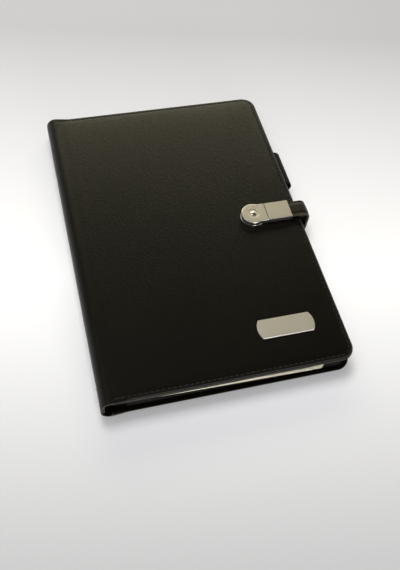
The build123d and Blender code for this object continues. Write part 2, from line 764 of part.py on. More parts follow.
os.makedirs("parts", exist_ok=True)
pieces = (front_leather, front_foam, front_board, front_lining, snap_base, snap_washer_steel,
          name_plate, pocket_panel, card_pockets, bank_tray, bank_lid, charge_lights,
          power_button, battery_cells, circuit_board, usb_a_socket, usb_c_socket,
          spine_leather, spine_stiffener, spine_lining, ring_channel, spine_rivets, lever_pins,
          ring_blade_upper, ring_blade_lower, ring_wires_upper, ring_wires_lower,
          lever_bottom, lever_top, page_block, back_leather, back_board, back_lining, pen_loop,
          strap_tail_leather, strap_leather, strap_backing, clasp_leather, clasp_lining,
          clasp_cap, stick_body, stick_chip, stick_magnet, stick_rivet)
for piece in pieces:
    export_step(piece.part, f"parts/{piece.part.label}.step")
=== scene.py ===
import bmesh
import bpy
import numpy as np
from mathutils import Matrix, Vector


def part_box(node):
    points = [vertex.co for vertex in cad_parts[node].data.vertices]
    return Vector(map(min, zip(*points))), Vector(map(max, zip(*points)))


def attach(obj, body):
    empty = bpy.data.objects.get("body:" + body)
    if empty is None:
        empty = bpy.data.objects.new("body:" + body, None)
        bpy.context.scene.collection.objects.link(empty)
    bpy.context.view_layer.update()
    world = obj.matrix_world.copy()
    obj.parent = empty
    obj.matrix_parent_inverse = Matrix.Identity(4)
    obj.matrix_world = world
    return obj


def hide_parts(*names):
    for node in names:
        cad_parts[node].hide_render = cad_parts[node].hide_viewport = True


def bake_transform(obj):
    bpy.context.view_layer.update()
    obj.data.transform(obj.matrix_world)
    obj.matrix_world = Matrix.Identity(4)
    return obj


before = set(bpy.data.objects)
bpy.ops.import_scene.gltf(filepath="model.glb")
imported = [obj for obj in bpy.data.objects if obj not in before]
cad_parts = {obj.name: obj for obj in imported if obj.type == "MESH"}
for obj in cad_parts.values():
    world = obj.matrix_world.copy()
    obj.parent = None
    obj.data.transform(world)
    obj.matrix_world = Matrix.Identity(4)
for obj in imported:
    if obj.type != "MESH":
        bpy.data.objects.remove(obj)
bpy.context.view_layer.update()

# The photographer's camera: it stands over the bottom edge, a little to the left, and looks down
# on the front cover. Turn, height and roll are degrees. Every length in this file is written in
# millimetres, and mm turns it into the metres that the scene is built in.
mm = 0.001
camera_turn, camera_height, camera_roll = np.radians((-20.636, 56.081, 7.867))
camera_distance = 507.056
camera_target = np.array((0.942, -38.085, 0.0))
camera_data = bpy.data.cameras.new("camera")
camera_data.lens = 45.555
camera = bpy.data.objects.new("camera", camera_data)
towards_camera = np.array((np.sin(camera_turn) * np.cos(camera_height),
                           -np.cos(camera_turn) * np.cos(camera_height), np.sin(camera_height)))
level_right = np.array((np.cos(camera_turn), np.sin(camera_turn), 0.0))
level_up = np.cross(towards_camera, level_right)
right = np.cos(camera_roll) * level_right + np.sin(camera_roll) * level_up
up = np.cross(towards_camera, right)
camera_place = (camera_target + towards_camera * camera_distance) * mm
camera.matrix_world = Matrix([(*row, place) for row, place in
                              zip(np.stack((right, up, towards_camera), axis=1), camera_place)]
                             + [(0, 0, 0, 1)])
bpy.context.scene.collection.objects.link(camera)
bpy.context.scene.camera = camera


# The table: a pale matt paper sweep that runs on far behind the organizer, which lies on it a
# little askew. Its colour is lighter in the middle than near and far: a painted pool of light
# in the middle and painted shade towards both ends. It keeps the shadow. It lies a hair under
# zero, so that it doesn't run through the back cover.
table_reach, table_drop = 4000.0, 0.15
table_turn = np.radians(11.1)
table_near, table_far = -260.0, 240.0    # where its tone has become the near and the far one


def linear(colour):
    """A colour written as sRGB hex, such as "#a0a0a0", as the linear RGBA that shaders take."""
    channels = np.array([int(colour[i:i + 2], 16) for i in (1, 3, 5)]) / 255
    straight = np.where(channels <= 0.04045, channels / 12.92, ((channels + 0.055) / 1.055) ** 2.4)
    return (*straight, 1.0)


def add_node(tree, kind, settings=None, **properties):
    """Adds a shader node. Each of settings is an input's name or number and what goes there: an
    output socket is linked, a hex colour is made linear, and anything else is set as it is."""
    node = tree.nodes.new("ShaderNode" + kind)
    for name, value in properties.items():
        setattr(node, name, value)
    for name, value in (settings or {}).items():
        if isinstance(value, bpy.types.NodeSocket):
            tree.links.new(value, node.inputs[name])
        elif isinstance(value, str):
            node.inputs[name].default_value = linear(value)
        else:
            node.inputs[name].default_value = value
    return node


def new_material(name):
    """An empty material, its node tree, and the place on the piece that its patterns go by."""
    material = bpy.data.materials.new(name)
    material.use_nodes = True
    tree = material.node_tree
    tree.nodes.clear()
    return material, tree, add_node(tree, "TexCoord").outputs["Object"]


def calculate(tree, operation, *values):
    """What the operation makes of the values."""
    return add_node(tree, "Math", dict(enumerate(values)), operation=operation).outputs[0]


def remap(tree, value, start, end, low=0.0, high=1.0, **properties):
    """Low where the value is start, high where it is end, and held there beyond them."""
    ends = {"From Min": start, "From Max": end, "To Min": low, "To Max": high}
    return add_node(tree, "MapRange", {"Value": value, **ends}, **properties).outputs["Result"]


def table_finish():
    """Matt paper sweep. Its colour is a ramp that is lighter in the middle, a painted pool of light,
    and darker near and far, painted shade. To the camera and in reflections a share of it is this
    painted ramp, about a quarter near the organizer and nearly all far off, and the rest takes
    light and shadow."""
    material, tree, place = new_material("pale_matt_sweep")
    along = add_node(tree, "VectorMath", {0: place, 1: (np.sin(table_turn), np.cos(table_turn), 0)},
                     operation="DOT_PRODUCT").outputs["Value"]
    # The ramp's light middle stop is a painted pool of light, and its darker near and far stops are
    # painted shade.
    tone = add_node(tree, "ValToRGB", {"Fac": remap(tree, along, table_near * mm, table_far * mm)})
    painted_light_stops = tone.color_ramp.elements
    painted_light_stops[0].color = linear("#bdbdc0")
    painted_light_stops[1].position, painted_light_stops[1].color = 1.0, linear("#bbbbc0")
    middle = painted_light_stops.new(0.46)
    middle.color = linear("#fafafc")
    matt = add_node(tree, "BsdfDiffuse", {"Color": tone.outputs["Color"]})
    glow = add_node(tree, "Emission", {"Color": tone.outputs["Color"], "Strength": 1.0})
    path = add_node(tree, "LightPath").outputs
    seen = calculate(tree, "MAXIMUM", path["Is Camera Ray"], path["Is Glossy Ray"])
    seen = calculate(tree, "MAXIMUM", seen, path["Is Transmission Ray"])
    away = add_node(tree, "VectorMath", {0: place}, operation="LENGTH").outputs["Value"]
    glow_share = calculate(tree, "MULTIPLY", seen,
                           remap(tree, away, 300 * mm, 1300 * mm, 0.28, 0.95))
    both = add_node(tree, "MixShader", {0: glow_share, 1: matt.outputs[0], 2: glow.outputs[0]})
    add_node(tree, "OutputMaterial", {"Surface": both.outputs[0]})
    return material


table_mesh = bpy.data.meshes.new("table")
table_mesh.from_pydata([(x * table_reach * mm, y * table_reach * mm, -table_drop * mm)
                        for x, y in ((-1, -1), (1, -1), (1, 1), (-1, 1))], [], [(0, 1, 2, 3)])
table_mesh.materials.append(table_finish())
table = bpy.data.objects.new("table", table_mesh)
bpy.context.scene.collection.objects.link(table)


# The studio light: a dim even surround and four soft boxes. The wide warm one low behind gives
# the leather its sheen towards the far edge, one high on the left fills, a low one in front lights
# the sheets' edges, and one overhead throws the soft shadow and shows in no reflection.
def studio_surround():
    """Even pale light from all round, dimmer in reflections. The camera sees it white past the
    end of the table, and so do reflections of its lowest part."""
    world = bpy.data.worlds.new("studio")
    world.use_nodes = True
    tree = world.node_tree
    tree.nodes.clear()
    path = add_node(tree, "LightPath").outputs
    dim = remap(tree, path["Is Glossy Ray"], 0, 1, 0.25, 0.02)
    light = add_node(tree, "Background", {"Color": "#f4f4f2", "Strength": dim})
    backdrop = add_node(tree, "Background", {"Color": "#ffffff", "Strength": 1.0})
    direction = add_node(tree, "TexCoord").outputs["Generated"]
    height = add_node(tree, "SeparateXYZ", {"Vector": direction}).outputs["Z"]
    low = remap(tree, height, 0.2, 0.55, 1.0, 0.0, interpolation_type="SMOOTHSTEP")
    seen = calculate(tree, "MAXIMUM", path["Is Glossy Ray"], path["Is Transmission Ray"])
    seen = calculate(tree, "MULTIPLY", seen, low)
    seen = calculate(tree, "MAXIMUM", seen, path["Is Camera Ray"])
    both = add_node(tree, "MixShader", {0: seen, 1: light.outputs[0], 2: backdrop.outputs[0]})
    add_node(tree, "OutputWorld", {"Surface": both.outputs[0]})
    return world


def soft_box(name, place, aim, size, power, colour):
    """A rectangular lamp at place, turned to aim, both in millimetres."""
    lamp = bpy.data.lights.new(name, "AREA")
    lamp.shape, lamp.size, lamp.size_y = "RECTANGLE", size[0] * mm, size[1] * mm
    lamp.energy, lamp.color = power, linear(colour)[:3]
    holder = bpy.data.objects.new(name, lamp)
    holder.location = Vector(place) * mm
    holder.rotation_euler = (Vector(aim) - Vector(place)).to_track_quat("-Z", "Y").to_euler()
    bpy.context.scene.collection.objects.link(holder)
    return holder


bpy.context.scene.world = studio_surround()
bpy.context.scene.view_settings.view_transform = "Standard"
soft_box("far_soft_box", (150, 1150, 620), (0, 60, 0), (1300, 420), 9.0, "#fff7cf")
soft_box("left_soft_box", (-620, 60, 1250), (0, 0, 0), (600, 600), 3.0, "#ffffff")
soft_box("near_soft_box", (60, -1100, 140), (30, 0, 0), (500, 150), 9.0, "#ffffff")
overhead = soft_box("overhead_soft_box", (-70, 330, 1000), (0, 0, 0), (420, 420), 7.0, "#ffffff")
overhead.visible_glossy = False


# Front cover and spine leather: one skin of smooth cowhide, 1 mm thick, turned down round the
# padded board at three edges and carried over the spine. Inside the rolled edge it is sewn down
# in a groove, and from there it rises over thin foam.
cover_length = 245.0
cover_height = 18.5          # both covers, closed
fore_x = 83.5
corner_radius = 10.0
bend_radius = 7.0
bend_start = 160.0           # along the leather from the fore-edge to the spine's bend
bend_end = bend_start + bend_radius * np.pi / 2
skin_end = bend_end + cover_height / 2 - bend_radius
taper_start, taper_end = 148.0, 161.0    # here the stiffened cover thins to plain leather
turned_end, plain_start = 157.0, 162.0   # here the turned edge gives way to a cut one
cut_start = 159.0
crease_place = 157.0         # a shallow crease along the spine
skin = 0.95
wall = 3.3                   # height of the turned-down edge
stitch_inset = 3.0
edge_levels = np.array((0, 0.15, 0.4, 0.8, 1.3, 1.9, 2.45, 2.75, 3, 3.25, 3.6, 4.2, 5, 6, 7, 8, 9, 10))


def smooth_step(value, start, end):
    """0 before start, 1 after end, and a soft S between."""
    share = np.clip((value - start) / (end - start), 0, 1)
    return share * share * (3 - 2 * share)


def stiffened(a):
    """1 on the stiffened panel and 0 on the plain leather towards the spine."""
    return 1 - smooth_step(a, taper_start, taper_end)


def turned_in(a):
    """1 where the leather is turned in round the board, and 0 where it ends in a cut edge."""
    return 1 - smooth_step(a, turned_end, plain_start)


def cover_plan(a, b, margin):
    """Where a point lies on the flattened cover: a is the distance from the fore-edge and b from
    the middle. Lines near an edge move in by margin, and in the corner squares they become arcs:
    the larger of the two distances from the corner's centre is the radius, and their ratio, times
    45 degrees, is the angle. The third result is the distance from the finished edge."""
    squeeze = lambda inset: np.where(inset < corner_radius,
                                     margin + inset * (1 - margin / corner_radius), inset)
    from_fore, from_end = squeeze(a), squeeze(cover_length / 2 - np.abs(b))
    u, v = corner_radius - from_fore, corner_radius - from_end
    corner = (u > 0) & (v > 0)
    radius = np.where(corner, np.maximum(u, v), 1)
    quarter = np.pi / 4
    angle = np.where(u >= v, quarter * v / radius, 2 * quarter - quarter * u / radius)
    from_fore = np.where(corner, corner_radius - radius * np.cos(angle), from_fore)
    from_end = np.where(corner, corner_radius - radius * np.sin(angle), from_end)
    inset = np.where(corner, corner_radius - radius, np.minimum(from_fore, from_end))
    return from_fore, np.sign(b) * (cover_length / 2 - from_end), inset


def wrap_cover(a, b, n, side):
    """The flattened cover bent to shape: flat to the spine's bend, a quarter circle, then down
    the spine to its middle. n is the height over the cover's face; side -1 is the back cover."""
    turn = np.clip((a - bend_start) / bend_radius, 0, np.pi / 2)
    down = np.clip(a - bend_end, 0, None)
    x = fore_x - np.minimum(a, bend_start) - (bend_radius + n) * np.sin(turn)
    rise = cover_height / 2 - bend_radius + (bend_radius + n) * np.cos(turn) - down
    return np.stack(np.broadcast_arrays(x, b, cover_height / 2 + side * rise), axis=-1)


def cover_face(a, b, inset):
    """Height of the leather over its flat face: a quarter of an ellipse at the rolled edge, a
    bell curve down for the groove and another for the crease, a fall towards the edge by two
    fading exponentials, one steep by the stitches and one long over the foam, and two slow waves
    that leave the leather a little uneven."""
    panel = stiffened(a)
    width, depth = 0.35 + 2.0 * panel, 0.3 + 1.3 * panel
    roll = depth * (np.sqrt(1 - np.clip(1 - inset / width, 0, 1) ** 2) - 1)
    within = np.clip(inset - 2, 0, None)
    fall = -panel * (0.55 * np.exp(-within / 4.5) + 0.28 * np.exp(-within / 15.0))
    sewn = 1 - smooth_step(a, bend_start - 2, bend_start + 1)
    groove = -0.22 * sewn * np.exp(-((inset - stitch_inset) / 0.55) ** 2)
    crease = -0.1 * np.exp(-((a - crease_place) / 3.0) ** 2)
    waves = 0.035 * (np.sin(a / 17 + b / 41) * np.cos(b / 23 - a / 37) - 1)
    return roll + fall + groove + crease + waves * smooth_step(inset, 4, 12)


def quads(index):
    """Faces of a grid of vertex numbers, one quad for each cell."""
    return np.stack((index[:-1, :-1], index[1:, :-1], index[1:, 1:], index[:-1, 1:]),
                    axis=-1).reshape(-1, 4)


def make_piece(name, points, faces, materials, face_materials=None, sharp=40.0):
    """Mesh piece from points in millimetres and arrays of faces. Its faces are turned outwards,
    and it shades smooth except across edges sharper than the angle given."""
    mesh = bpy.data.meshes.new(name)
    mesh.from_pydata((points * mm).tolist(), [], [face for group in faces for face in group.tolist()])
    for material in materials:
        mesh.materials.append(material)
    if face_materials is not None:
        mesh.polygons.foreach_set("material_index", face_materials.astype(np.int32))
    solid = bmesh.new()
    solid.from_mesh(mesh)
    bmesh.ops.recalc_face_normals(solid, faces=solid.faces)
    solid.to_mesh(mesh)
    solid.free()
    mesh.shade_smooth()
    mesh.set_sharp_from_angle(angle=np.radians(sharp))
    made = bpy.data.objects.new(name, mesh)
    bpy.context.scene.collection.objects.link(made)
    return made


def mark_wear(piece, wear):
    """Stores how worn each point of a leather piece is, from 0 to 1, for its material."""
    attribute = piece.data.attributes.new("wear", "FLOAT", "POINT")
    attribute.data.foreach_set("value", wear)


def border_of(rows, columns):
    """Row and column numbers once round the border of a grid."""
    return (np.concatenate((np.zeros(columns - 1), np.arange(rows - 1),
                            np.full(columns - 1, rows - 1), np.arange(rows - 1, 0, -1))).astype(int),
            np.concatenate((np.arange(columns - 1), np.full(rows - 1, columns - 1),
                            np.arange(columns - 1, 0, -1), np.zeros(rows - 1))).astype(int))


def closed_shell(outer, inner, rings=()):
    """Points and faces of a closed shell: an outer and an inner grid, joined border to border by
    way of any rings of points that follow the border."""
    rows, columns = outer.shape[:2]
    border = border_of(rows, columns)
    top = np.arange(rows * columns).reshape(rows, columns)
    count = len(border[0])
    rings = np.reshape(rings, (-1, count, 3))
    strips = rows * columns + np.arange(len(rings) * count).reshape(len(rings), count)
    bottom = rows * columns + len(rings) * count + top
    loops = np.vstack((top[border], strips, bottom[border]))
    loops = np.concatenate((loops, loops[:, :1]), axis=1)
    points = np.concatenate((outer.reshape(-1, 3), rings.reshape(-1, 3), inner.reshape(-1, 3)))
    return points, (quads(top), quads(loops), quads(bottom)[:, ::-1])


def noise(tree, place, size, detail):
    """Clouds of values from 0 to 1, about size millimetres across."""
    return add_node(tree, "TexNoise", {"Vector": place, "Scale": 1 / (size * mm),
                                       "Detail": detail}).outputs["Fac"]


def blend_colours(tree, share, first, second):
    """The first colour where the share is 0, the second where it is 1."""
    return add_node(tree, "Mix", {"Factor": share, 6: first, 7: second},
                    data_type="RGBA").outputs[2]


def relief(tree, height, strength, depth):
    """Normals of a surface that the height raises by up to depth, in millimetres."""
    return add_node(tree, "Bump", {"Height": height, "Strength": strength,
                                   "Distance": depth * mm}).outputs[0]


def surfaced(material, colour, roughness, normal, more=None):
    """Ends a material with its surface, and gives it back."""
    tree = material.node_tree
    surface = add_node(tree, "BsdfPrincipled", {"Base Color": colour, "Roughness": roughness,
                                                "Normal": normal, **(more or {})})
    add_node(tree, "OutputMaterial", {"Surface": surface.outputs[0]})
    return material


def leather(name, dark, light, worn, grain, gloss=0.17):
    """Aniline cowhide, drum-dyed and lightly waxed: nearly black with a warm brown cast, closed
    pebble grain, satin where it is handled, and lighter where the dye has worn off the edges.
    Real grain is about half a millimetre; it is drawn at the given size so that it shows. Gloss
    is lower where the hide is turned under and was never waxed."""
    material, tree, place = new_material(name)
    tone = blend_colours(tree, noise(tree, place, 38, 4.0), dark, light)
    wear = add_node(tree, "Attribute", attribute_name="wear").outputs["Fac"]
    scuffs = noise(tree, place, 4, 5.0)
    colour = blend_colours(tree, calculate(tree, "MULTIPLY", wear, scuffs), tone, worn)
    pebbles = add_node(tree, "TexVoronoi", {"Vector": place, "Scale": 1 / (grain * mm)},
                       feature="SMOOTH_F1").outputs["Distance"]
    height = calculate(tree, "SUBTRACT", pebbles, noise(tree, place, 0.4, 2.0))
    return surfaced(material, colour, remap(tree, scuffs, 0, 1, 0.3, 0.4),
                    relief(tree, height, 0.8, 0.1), {"Specular IOR Level": gloss})


def cut_leather():
    """Cut edge of the hide, burnished with brown edge dye: matt, fibrous, paler than the face."""
    material, tree, place = new_material("burnished_leather_edge")
    fibres = noise(tree, place, 0.7, 4.0)
    return surfaced(material, blend_colours(tree, fibres, "#1d1913", "#4c4335"), 0.7,
                    relief(tree, fibres, 0.6, 0.1))


cover_leather = leather("black_brown_cowhide", "#080805", "#100e09", "#40382b", 1.5)
turned_leather = leather("black_brown_turned_edge", "#080805", "#100e09", "#40382b", 1.5, gloss=0.03)
leather_edge = cut_leather()


def cover_skin(name, side, a_lines, b_lines, face):
    """One cover's leather as a closed shell. Each ring of its turned edge has a margin and a
    height on the stiffened panel, and only a height on the plain leather by the spine."""
    a, b = np.meshgrid(a_lines, b_lines, indexing="ij")
    out_a, out_b, out_inset = cover_plan(a, b, 0.0)
    outer_n = face(out_a, out_b, out_inset)
    outer = wrap_cover(out_a, out_b, outer_n, side)
    in_a, in_b, _ = cover_plan(a, b, skin * turned_in(a))
    inner_n = np.minimum(-skin, outer_n - 0.06)
    inner = wrap_cover(in_a, in_b, inner_n, side)
    border = border_of(*a.shape)
    edge_a, edge_b = a[border], b[border]
    panel = turned_in(edge_a)
    spine_seam = (edge_a == a_lines[-1]) & (np.abs(edge_b) < cover_length / 2)
    margins = (0, 0.05, 0.25, 3.3, 3.4, 1.0, skin)
    panel_heights = (-wall + 0.4, -wall + 0.12, -wall, -wall, -wall + 0.08, -wall + 0.08, -skin - 0.1)
    plain_heights = (-0.42, -0.52, -0.6, -0.7, -0.78, -0.85, -0.9)
    rings = []
    for number, (margin, high, low) in enumerate(zip(margins, panel_heights, plain_heights)):
        ring_a, ring_b, _ = cover_plan(edge_a, edge_b, margin * panel)
        share = (number + 1) / (len(margins) + 1)
        n = np.where(spine_seam, outer_n[border] * (1 - share) + inner_n[border] * share,
                     low + (high - low) * panel)
        rings.append(wrap_cover(ring_a, ring_b, n, side))
    points, faces = closed_shell(outer, inner, rings)
    edge_faces = np.tile(np.arange(len(edge_a)), len(margins) + 1)
    is_cut = edge_a[edge_faces] > cut_start
    kinds = np.concatenate((np.zeros(len(faces[0])), 1 + is_cut, np.ones(len(faces[2]))))
    made = make_piece(name, points, faces, (cover_leather, turned_leather, leather_edge), kinds,
                      sharp=50.0)
    wear = np.concatenate(((0.35 * np.exp(-out_inset / 0.9) * stiffened(out_a)).ravel(),
                           np.tile(panel, len(margins)) * 0.08, np.zeros(inner_n.size)))
    mark_wear(made, wear)
    return made


def lines_between(start, end, step):
    """Evenly spaced lines from after start to end, about step apart."""
    return np.linspace(start, end, int(np.ceil((end - start) / step)) + 1)[1:]


a_lines = np.concatenate((edge_levels, lines_between(corner_radius, taper_start, 4),
                          lines_between(taper_start, cut_start, 0.75),
                          lines_between(cut_start, bend_end, 0.7), (skin_end,)))
middle_lines = lines_between(corner_radius, cover_length / 2, 4)
half_lines = cover_length / 2 - np.concatenate((edge_levels, middle_lines))
b_lines = np.concatenate((-half_lines, half_lines[-2::-1]))
front_leather = cover_skin("front_cover_leather", 1, a_lines, b_lines, cover_face)
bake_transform(front_leather)
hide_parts("front_leather", "spine_leather")


# Back cover leather: the same skin the other way up, sewn in the same way. It lies on the table,
# and a flat recess from its fore-edge takes the strap's tail, which is glued and sewn in there.
tail_half, tail_length, tail_depth = 6.62, 17.4, 1.82
tail_wall = 0.1              # run-out of the recess's sides


def back_face(a, b, inset):
    """The cover's face, lowered to a flat floor over the strap's tail."""
    across = 1 - smooth_step(np.abs(b), tail_half, tail_half + tail_wall)
    along = 1 - smooth_step(a, tail_length, tail_length + tail_wall)
    face = cover_face(a, b, inset)
    return face + np.minimum(-tail_depth - face, 0) * across * along


tail_lines = (-tail_half - tail_wall, -tail_half, tail_half, tail_half + tail_wall)
back_b_lines = np.unique(np.concatenate((b_lines, tail_lines)))
back_a_lines = np.unique(np.concatenate((a_lines, (tail_length, tail_length + tail_wall))))
back_leather = cover_skin("back_cover_leather", -1, back_a_lines, back_b_lines, back_face)
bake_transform(back_leather)
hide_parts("back_leather")


# Stitching: waxed black polyester thread, one row in the groove round three edges of each cover,
# 3 mm in. Each stitch dips into the leather at both ends.
stitch_pitch = 3.6
thread = 0.85
row_points = 80              # along each straight stretch


def waxed_thread(name, colour):
    """Twisted polyester thread, waxed: black, with a faint sheen and a fine twist."""
    material, tree, place = new_material(name)
    twist = add_node(tree, "TexWave", {"Vector": place, "Scale": 1 / (1.6 * mm)},
                     bands_direction="DIAGONAL").outputs["Fac"]
    return surfaced(material, colour, 0.5, relief(tree, twist, 0.5, 0.05),
                    {"Specular IOR Level": 0.35})


def stitch_row(name, material, path, up, pitch, thickness):
    """Stitches along a path of close points. Up is the outward direction, either one for the
    whole path or one for each point. Each stitch is a long bead: its half length times the cosine
    of one angle along the path, its radius times the sine across it, once round."""
    up = np.broadcast_to(up, path.shape)
    steps = np.linalg.norm(np.diff(path, axis=0), axis=1)
    distance = np.concatenate(((0,), np.cumsum(steps)))
    middles = np.arange(pitch / 2, distance[-1], pitch)
    at = lambda values, where: np.stack([np.interp(where, distance, c) for c in values.T], axis=1)
    centre = at(path, middles)
    along = at(path, middles + 0.3) - at(path, middles - 0.3)
    along /= np.linalg.norm(along, axis=1, keepdims=True)
    upward = at(up, middles)
    across = np.cross(upward, along)
    around, stations, length_share = 6, 5, 0.37
    round_angle = np.linspace(0, 2 * np.pi, around, endpoint=False)
    bead = np.radians((12, 50, 90, 130, 168))
    length = np.cos(bead)[:, None] * np.ones(around) * (pitch * length_share)
    wide = np.sin(bead)[:, None] * np.cos(round_angle) * (thickness / 2)
    high = np.sin(bead)[:, None] * np.sin(round_angle) * (thickness / 2)
    points = (centre[:, None, None] + length[..., None] * along[:, None, None]
              + wide[..., None] * across[:, None, None] + high[..., None] * upward[:, None, None])
    index = np.arange(len(middles) * stations * around).reshape(-1, stations, around)
    wrapped = np.concatenate((index, index[:, :, :1]), axis=2)
    sides = np.concatenate([quads(one) for one in wrapped])
    caps = np.concatenate((index[:, 0, ::-1], index[:, -1]))
    return make_piece(name, points.reshape(-1, 3), (sides, caps), (material,), sharp=70.0)


cover_thread = waxed_thread("waxed_black_thread", "#080706")
straight_a = np.linspace(bend_start - 2, corner_radius, row_points)
turn = np.linspace(0, np.pi / 2, 24)[1:-1]
round_in = corner_radius - stitch_inset
row_a = np.concatenate((straight_a, corner_radius - round_in * np.sin(turn),
                        np.full(row_points, stitch_inset),
                        corner_radius - round_in * np.cos(turn),
                        straight_a[::-1]))
edge_b = cover_length / 2 - stitch_inset
corner_b = cover_length / 2 - corner_radius
row_b = np.concatenate((np.full(row_points, -edge_b), -corner_b - round_in * np.cos(turn),
                        np.linspace(-corner_b, corner_b, row_points),
                        corner_b + round_in * np.sin(turn), np.full(row_points, edge_b)))
for side, body in ((1, "front_cover"), (-1, "back_cover")):
    row_n = cover_face(row_a, row_b, np.full(len(row_a), stitch_inset)) + thread * 0.12
    row = wrap_cover(row_a, row_b, row_n, side)
    stitches = stitch_row(f"{body}_stitches", cover_thread, row, (0, 0, side), stitch_pitch, thread)
    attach(stitches, body)


# Linings: fine black twill glued inside both covers and on the spine, over the boards and under
# the turned-in leather.
lining_depth, lining_back = 3.2, 2.85    # of its two faces, under the cover's face
lining_margin = 1.15
lining_end = 156.8


def waves_per(period):
    """The Wave texture's scale that puts its bands this many millimetres apart."""
    return np.pi / (10 * period * mm)


def woven(name, dark, light, thread_gap, roughness):
    """Close plain weave: warp and weft threads cross, each rising in turn. Real threads are
    0.3 mm apart; they are drawn at the given gap so that they show."""
    material, tree, place = new_material(name)
    warp, weft = (add_node(tree, "TexWave", {"Vector": place, "Scale": waves_per(thread_gap)},
                           bands_direction=direction).outputs["Fac"] for direction in "XY")
    colour = blend_colours(tree, noise(tree, place, 6, 5.0), dark, light)
    return surfaced(material, colour, roughness,
                    relief(tree, calculate(tree, "MULTIPLY", warp, weft), 0.7, 0.1),
                    {"Sheen Weight": 0.2})


lining_cloth = woven("black_twill_lining", "#131313", "#201f1e", 0.7, 0.75)
inside_a = np.concatenate((edge_levels, lines_between(corner_radius, lining_end, 5)))
for side, body in ((1, "front_cover"), (-1, "back_cover")):
    a, b = np.meshgrid(inside_a, b_lines, indexing="ij")
    a, b, inset = cover_plan(a, b, lining_margin)
    pull = 0.012 * np.sin(a / 9) * np.cos(b / 13)
    face = wrap_cover(a, b, -lining_depth + pull, side)
    back = wrap_cover(a, b, np.full(a.shape, -lining_back), side)
    lining = make_piece(f"{body}_lining", *closed_shell(face, back), (lining_cloth,))
    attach(lining, body)
    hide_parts(body.split("_")[0] + "_lining")


def node_box(name):
    """Lowest and highest corner of a CAD node at rest, in millimetres."""
    return np.array(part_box(name)) / mm


spine_low, spine_high = node_box("spine_lining")
y, z = np.meshgrid(np.linspace(spine_low[1], spine_high[1], 90),
                   np.linspace(spine_low[2], spine_high[2], 8), indexing="ij")
face_x = spine_high[0] + 0.015 * np.sin(y / 7) * np.cos(z)
spine_face = np.stack((face_x, y, z), axis=-1)
spine_back = np.stack((np.full(y.shape, spine_low[0]), y, z), axis=-1)
spine_cloth = make_piece("spine_lining_cloth", *closed_shell(spine_face, spine_back),
                         (lining_cloth,))
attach(spine_cloth, "spine")
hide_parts("spine_lining")


# Hinge strips: thin black leather glued over the end of each cover's board and into the spine,
# so that no board shows where the organizer folds.
strip_thickness, strip_half = 0.25, 119.6
strip_start, strip_end = 150.0, 169.0    # along the leather, as bend_start
leaves_board, meets_skin, leaves_skin = 157.3, 159.6, 167.8
strip_on_board, strip_on_skin, strip_on_spine = 3.27, 1.1, 2.0    # its depths under the face
hinge_leather = leather("thin_black_hinge_leather", "#0b0b09", "#13120f", "#2a251d", 0.8, gloss=0.06)
strip_a = np.concatenate((np.linspace(strip_start, 157, 6), np.linspace(157.5, 167.7, 24),
                          np.linspace(168, strip_end, 5)))
for side, body in ((1, "front_cover"), (-1, "back_cover")):
    a, b = np.meshgrid(strip_a, np.linspace(-strip_half, strip_half, 80), indexing="ij")
    on_board = 1 - smooth_step(a, leaves_board, meets_skin)
    depth = strip_on_skin + (strip_on_board - strip_on_skin) * on_board
    depth += (strip_on_spine - strip_on_skin) * smooth_step(a, leaves_skin, strip_end)
    face = wrap_cover(a, b, -depth, side)
    back = wrap_cover(a, b, -depth + strip_thickness, side)
    strip = make_piece(f"{body}_hinge_strip", *closed_shell(face, back), (hinge_leather,))
    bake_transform(strip)


# Boards and foam: black millboard stiffens both covers and the spine, with a thin sheet of
# closed-cell foam under the front leather. Only their cut edges could ever show.
def node_finish(material, *nodes):
    """Gives CAD nodes a material."""
    for name in nodes:
        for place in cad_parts[name].material_slots:
            place.material = material


def pressed(name, dark, light, grain, roughness, depth):
    """Pressed or foamed sheet stock: a speckle of the given grain in millimetres."""
    material, tree, place = new_material(name)
    speckle = noise(tree, place, grain, 4.0)
    return surfaced(material, blend_colours(tree, speckle, dark, light), roughness,
                    relief(tree, speckle, 0.5, depth))


node_finish(pressed("black_millboard", "#171613", "#26241f", 1.2, 0.9, 0.1),
            "front_board", "back_board", "spine_board")
node_finish(pressed("charcoal_cell_foam", "#2b2b2b", "#4a4a4a", 0.8, 0.95, 0.2), "front_foam")


# Ring mechanism: a nickel-plated pressed channel riveted to the spine, two spring blades that
# carry the ring halves, and a lever with a bent tab on a pin at each end.
def plated(name, colour, roughness, polish_lines, direction, sides=None):
    """Nickel plate on steel or zinc. Polished, it mirrors; brushed, fine scratches run along one
    axis of the piece, one scratch in each given part of a millimetre, and blur the mirror. Faces
    that slope or stand upright were only tumbled, and have the roughness given for sides."""
    material, tree, place = new_material(name)
    across = 1 / (polish_lines * mm)
    stretch = [across if axis != direction else across / 60 for axis in "XYZ"]
    lines = add_node(tree, "Mapping", {"Vector": place, "Scale": stretch}).outputs[0]
    scratches = add_node(tree, "TexNoise", {"Vector": lines, "Scale": 1.0,
                                            "Detail": 3.0}).outputs["Fac"]
    smear = calculate(tree, "MULTIPLY", scratches, noise(tree, place, 7, 3.0))
    facing = add_node(tree, "SeparateXYZ", {"Vector": place.node.outputs["Normal"]}).outputs["Z"]
    level = calculate(tree, "ABSOLUTE", facing)
    side_share = (sides or roughness) / roughness
    rough = calculate(tree, "MULTIPLY",
                      remap(tree, smear, 0, 0.5, roughness * 0.93, roughness * 1.1),
                      remap(tree, level, 0.6, 0.95, side_share, 1.0))
    return surfaced(material, colour, rough, relief(tree, scratches, 0.25, 0.02),
                    {"Metallic": 1.0})


ring_steel = plated("nickel_plated_spring_steel", "#d2d0ca", 0.16, 0.3, "Y")
bright_nickel = plated("polished_nickel", "#dedad2", 0.1, 0.3, "X")
node_finish(ring_steel, "ring_channel", "ring_blade_upper", "ring_blade_lower",
            "ring_wires_upper", "ring_wires_lower", "lever_bottom", "lever_top", "lever_pins",
            "snap_washer")
node_finish(bright_nickel, "spine_rivets")


